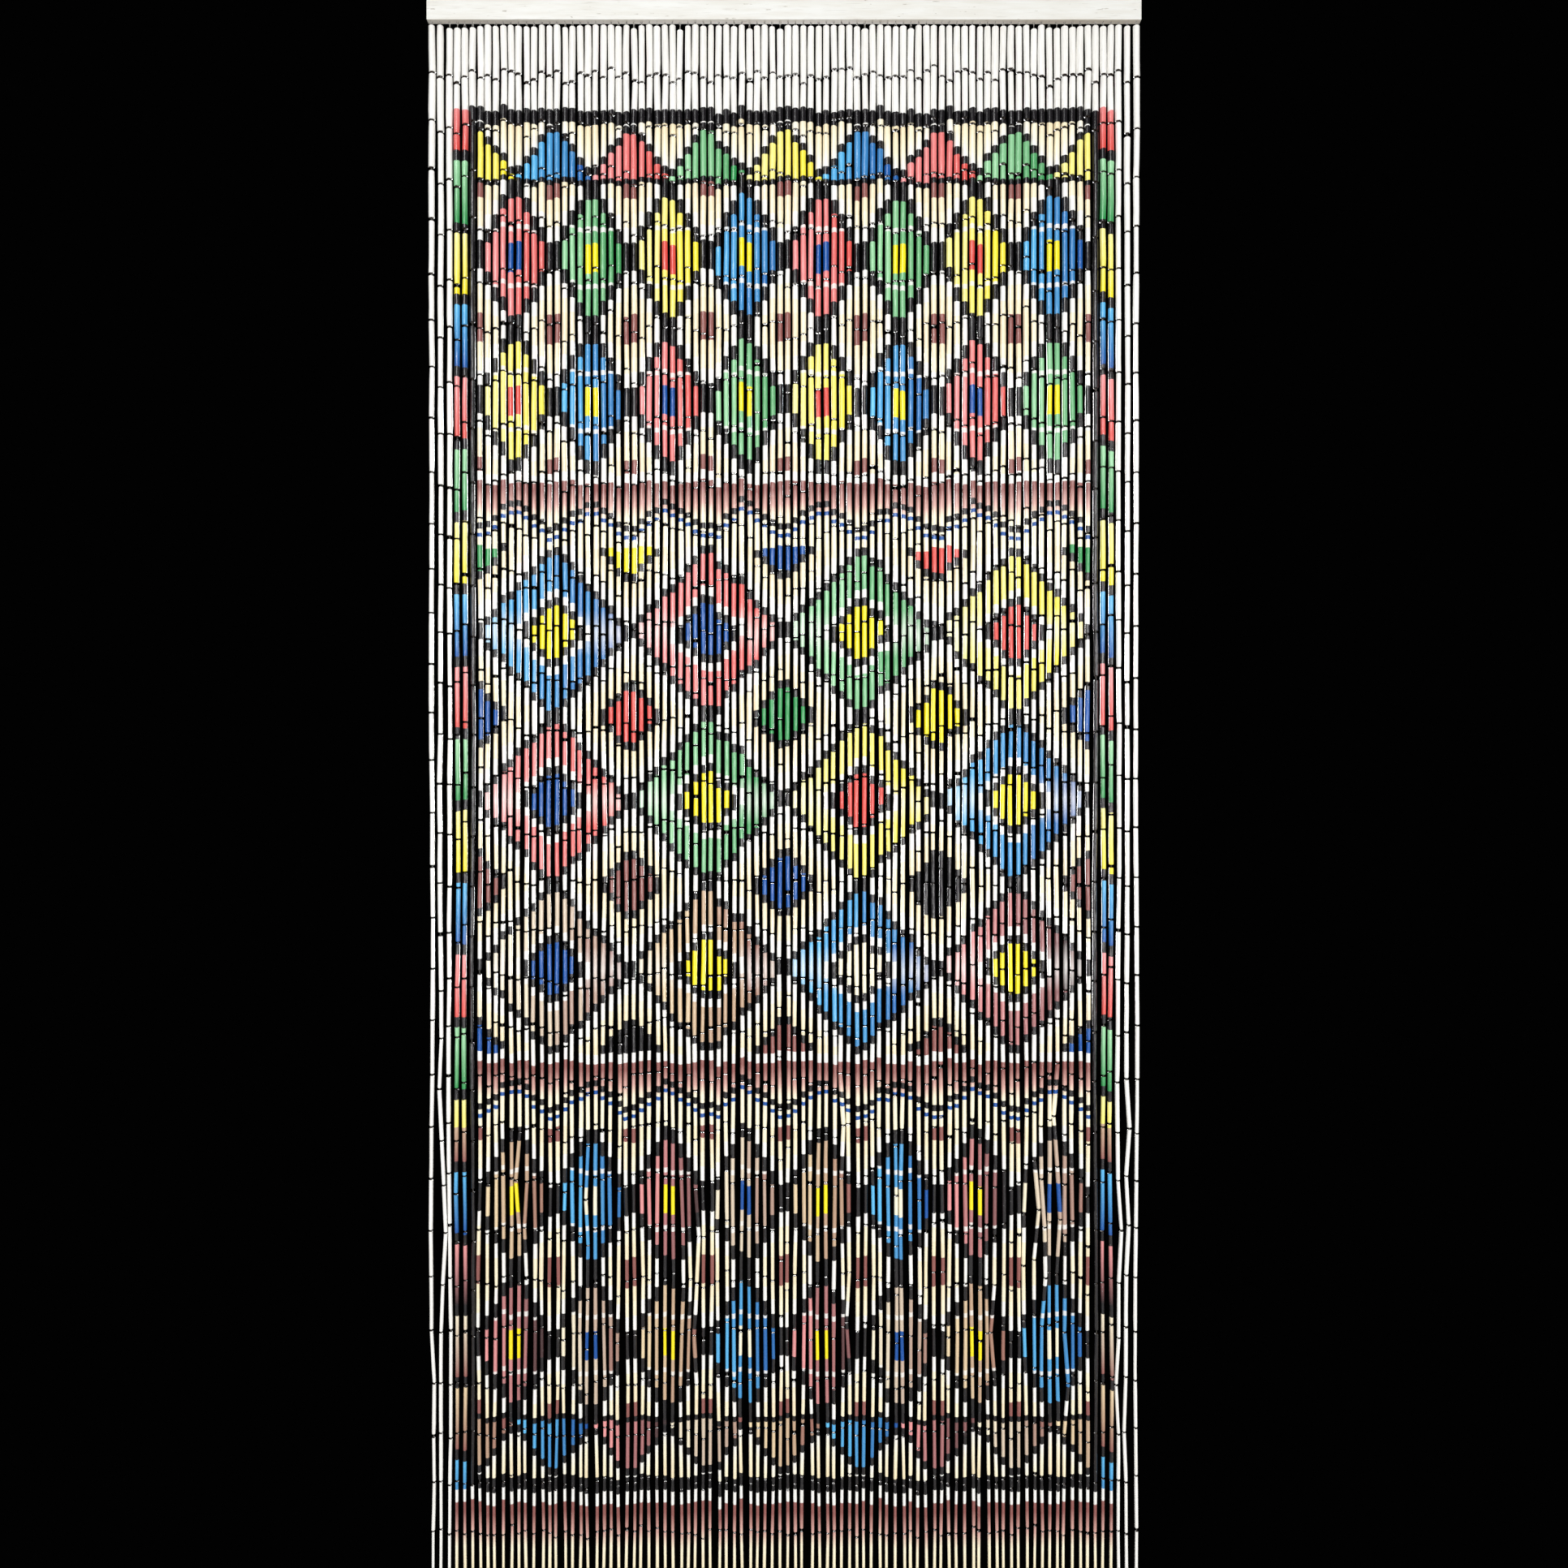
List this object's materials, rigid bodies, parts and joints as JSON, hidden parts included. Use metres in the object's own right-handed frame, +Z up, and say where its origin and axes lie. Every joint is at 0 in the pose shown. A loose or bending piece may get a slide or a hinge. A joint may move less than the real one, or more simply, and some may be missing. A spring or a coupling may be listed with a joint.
{
  "type": "bead curtain and hanging bar",
  "caption": "Doorway curtain: close vertical strands of painted bamboo tube beads, joined by wire loops, under a flat white wooden bar.",
  "frame": {"origin": "centre of the bar's flat back face, where it lies against the lintel or door frame", "axes": "+Z up, the strands hang along -Z, +X along the bar to the right seen from the front, +Y backwards into the wall; the painted front faces -Y"},
  "size_m": [0.9, 0.01, 2],
  "materials": {
    "painted_wood": "off-white paint brushed over planed wood, faint grain and small chips",
    "painted_bamboo": "satin paint on natural bamboo tubes, white ground with sprayed coloured geometric bands, faint lengthwise streaks",
    "link_wire": "dull grey galvanised wire"
  },
  "bodies": {
    "root": {"hanging_bar": "painted_wood", "bead_strands": "painted_bamboo"}
  },
  "joints": []
}
